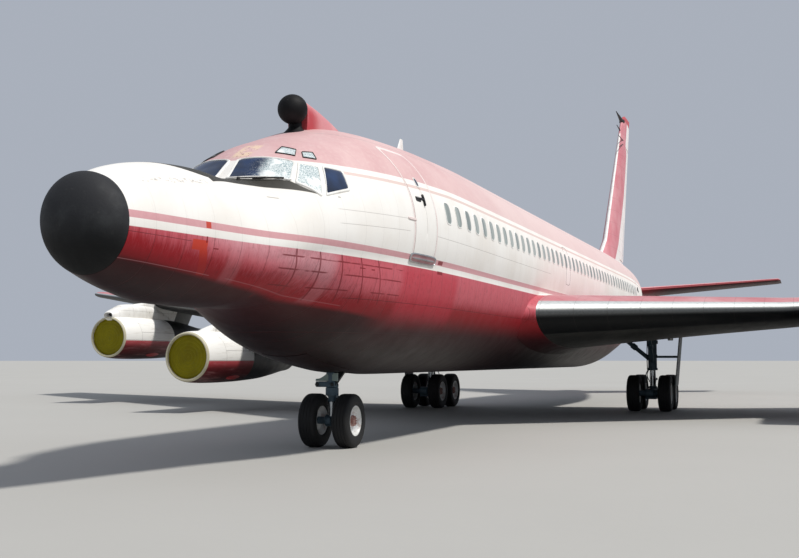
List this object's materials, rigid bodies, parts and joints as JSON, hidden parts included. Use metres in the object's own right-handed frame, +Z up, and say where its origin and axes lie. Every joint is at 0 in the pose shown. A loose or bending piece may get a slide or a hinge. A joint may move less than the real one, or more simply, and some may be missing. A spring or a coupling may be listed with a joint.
{
  "type": "narrow body airliner, 1:2 scale model",
  "caption": "Narrow body airliner with podded engines and a long test nose, at half scale, parked on gear that rolls and steers, with hinged flaps, ailerons, elevators and rudder.",
  "frame": {"origin": "on the ground under the middle of the whole aircraft's box, on its centre line", "axes": "+X to port, +Y aft towards the tail, +Z up"},
  "size_m": [19.94, 22.105, 6.31],
  "materials": {
    "white_paint": "chalked semi-gloss",
    "red_paint": "faded and streaked",
    "pink_paint": "faded matte",
    "bare_metal": "polished, dulled in places",
    "window_glass": "gloss",
    "tyre_rubber": "worn matte",
    "black_radome": "matte",
    "gear_grey": "semi-gloss",
    "cover_olive": "matte",
    "exhaust_metal": "sooted",
    "rim_paint": "rust stained"
  },
  "bodies": {
    "root": {"fuselage_forward": "white_paint", "fuselage_centre": "white_paint", "fuselage_aft": "white_paint", "nose_fairing": "white_paint", "nose_dome": "black_radome", "cockpit_window_band": "window_glass", "door_forward_left": "white_paint", "door_aft_left": "white_paint", "door_forward_right": "white_paint", "door_aft_right": "white_paint", "roof_ball": "black_radome", "roof_ball_fairing": "pink_paint", "blade_aerial": "white_paint", "wing_left": "bare_metal", "wing_right": "bare_metal", "stabiliser_left": "red_paint", "stabiliser_right": "red_paint", "fin": "pink_paint", "engine_pod_inboard_left": "white_paint", "engine_pod_inboard_right": "white_paint", "engine_pod_outboard_left": "white_paint", "engine_pod_outboard_right": "white_paint", "intake_cover_inboard_left": "cover_olive", "intake_cover_inboard_right": "cover_olive", "intake_cover_outboard_left": "cover_olive", "intake_cover_outboard_right": "cover_olive", "pylon_inboard_left": "white_paint", "pylon_inboard_right": "white_paint", "pylon_outboard_left": "white_paint", "pylon_outboard_right": "white_paint", "nose_leg": "gear_grey", "nose_door_left": "red_paint", "nose_door_right": "red_paint", "main_leg_left": "gear_grey", "main_leg_right": "gear_grey", "main_truck_left": "gear_grey", "main_truck_right": "gear_grey", "main_door_left": "white_paint", "main_door_right": "white_paint"},
    "nose_strut": {"nose_steering": "gear_grey"},
    "nose_wheel_pair": {"nose_wheels": "tyre_rubber"},
    "main_pair_front_left": {"main_wheels_front_left": "tyre_rubber"},
    "main_pair_front_right": {"main_wheels_front_right": "tyre_rubber"},
    "main_pair_rear_left": {"main_wheels_rear_left": "tyre_rubber"},
    "main_pair_rear_right": {"main_wheels_rear_right": "tyre_rubber"},
    "rudder_body": {"rudder": "white_paint"},
    "elevator_left_body": {"elevator_left": "red_paint"},
    "elevator_right_body": {"elevator_right": "red_paint"},
    "aileron_inboard_left_body": {"aileron_inboard_left": "bare_metal"},
    "aileron_inboard_right_body": {"aileron_inboard_right": "bare_metal"},
    "aileron_outboard_left_body": {"aileron_outboard_left": "bare_metal"},
    "aileron_outboard_right_body": {"aileron_outboard_right": "bare_metal"},
    "flap_inboard_left_body": {"flap_inboard_left": "bare_metal"},
    "flap_inboard_right_body": {"flap_inboard_right": "bare_metal"},
    "flap_outboard_left_body": {"flap_outboard_left": "bare_metal"},
    "flap_outboard_right_body": {"flap_outboard_right": "bare_metal"}
  },
  "joints": [
    {"name": "nose_steer", "type": "hinge", "parent": "root", "child": "nose_strut", "pos_m": [0, -7.4225, 0.5], "axis": [0, 0, 1], "range_deg": [-60, 60]},
    {"name": "nose_roll", "type": "hinge", "parent": "nose_strut", "child": "nose_wheel_pair", "pos_m": [0, -7.4225, 0.224], "axis": [1, 0, 0], "continuous": true},
    {"name": "main_roll_front_left", "type": "hinge", "parent": "root", "child": "main_pair_front_left", "pos_m": [1.6825, -0.0275, 0.255], "axis": [1, 0, 0], "continuous": true},
    {"name": "main_roll_front_right", "type": "hinge", "parent": "root", "child": "main_pair_front_right", "pos_m": [-1.6825, -0.0275, 0.255], "axis": [1, 0, 0], "continuous": true},
    {"name": "main_roll_rear_left", "type": "hinge", "parent": "root", "child": "main_pair_rear_left", "pos_m": [1.6825, 0.6225, 0.255], "axis": [1, 0, 0], "continuous": true},
    {"name": "main_roll_rear_right", "type": "hinge", "parent": "root", "child": "main_pair_rear_right", "pos_m": [-1.6825, 0.6225, 0.255], "axis": [1, 0, 0], "continuous": true},
    {"name": "rudder_hinge", "type": "hinge", "parent": "root", "child": "rudder_body", "pos_m": [0, 7.9095, 2.88], "axis": [0, 0.4853, 0.8744], "range_deg": [-25, 25]},
    {"name": "elevator_left_hinge", "type": "hinge", "parent": "root", "child": "elevator_left_body", "pos_m": [0.625, 9.27619, 2.19797], "axis": [-0.8949, -0.4362, -0.0948], "range_deg": [-25, 15]},
    {"name": "elevator_right_hinge", "type": "hinge", "parent": "root", "child": "elevator_right_body", "pos_m": [-0.625, 9.27619, 2.19797], "axis": [-0.8949, 0.4362, 0.0948], "range_deg": [-25, 15]},
    {"name": "aileron_inboard_left_hinge", "type": "hinge", "parent": "root", "child": "aileron_inboard_left_body", "pos_m": [3.575, 0.68311, 1.31461], "axis": [-0.8772, -0.4735, -0.0792], "range_deg": [-20, 20]},
    {"name": "aileron_inboard_right_hinge", "type": "hinge", "parent": "root", "child": "aileron_inboard_right_body", "pos_m": [-3.575, 0.68311, 1.31461], "axis": [-0.8772, 0.4735, 0.0792], "range_deg": [-20, 20]},
    {"name": "aileron_outboard_left_hinge", "type": "hinge", "parent": "root", "child": "aileron_outboard_left_body", "pos_m": [7.25, 2.71493, 1.7412], "axis": [-0.8671, -0.4869, -0.1051], "range_deg": [-20, 20]},
    {"name": "aileron_outboard_right_hinge", "type": "hinge", "parent": "root", "child": "aileron_outboard_right_body", "pos_m": [-7.25, 2.71493, 1.7412], "axis": [-0.8671, 0.4869, 0.1051], "range_deg": [-20, 20]},
    {"name": "flap_inboard_left_hinge", "type": "hinge", "parent": "root", "child": "flap_inboard_left_body", "pos_m": [1.175, 0.44655, 0.92095], "axis": [-0.9912, -0.095, -0.0922], "range_deg": [0, 50]},
    {"name": "flap_inboard_right_hinge", "type": "hinge", "parent": "root", "child": "flap_inboard_right_body", "pos_m": [-1.175, 0.44655, 0.92095], "axis": [-0.9912, 0.095, 0.0922], "range_deg": [0, 50]},
    {"name": "flap_outboard_left_hinge", "type": "hinge", "parent": "root", "child": "flap_outboard_left_body", "pos_m": [4.45, 1.15854, 1.22199], "axis": [-0.8699, -0.4814, -0.107], "range_deg": [0, 50]},
    {"name": "flap_outboard_right_hinge", "type": "hinge", "parent": "root", "child": "flap_outboard_right_body", "pos_m": [-4.45, 1.15854, 1.22199], "axis": [-0.8699, 0.4814, 0.107], "range_deg": [0, 50]}
  ],
  "couplings": [
    {"joint": "elevator_right_hinge", "follows": "elevator_left_hinge", "ratio": 1},
    {"joint": "aileron_inboard_right_hinge", "follows": "aileron_inboard_left_hinge", "ratio": -1},
    {"joint": "aileron_outboard_left_hinge", "follows": "aileron_inboard_left_hinge", "ratio": 1},
    {"joint": "aileron_outboard_right_hinge", "follows": "aileron_inboard_left_hinge", "ratio": -1},
    {"joint": "flap_inboard_right_hinge", "follows": "flap_inboard_left_hinge", "ratio": 1},
    {"joint": "flap_outboard_left_hinge", "follows": "flap_inboard_left_hinge", "ratio": 1},
    {"joint": "flap_outboard_right_hinge", "follows": "flap_inboard_left_hinge", "ratio": 1}
  ]
}
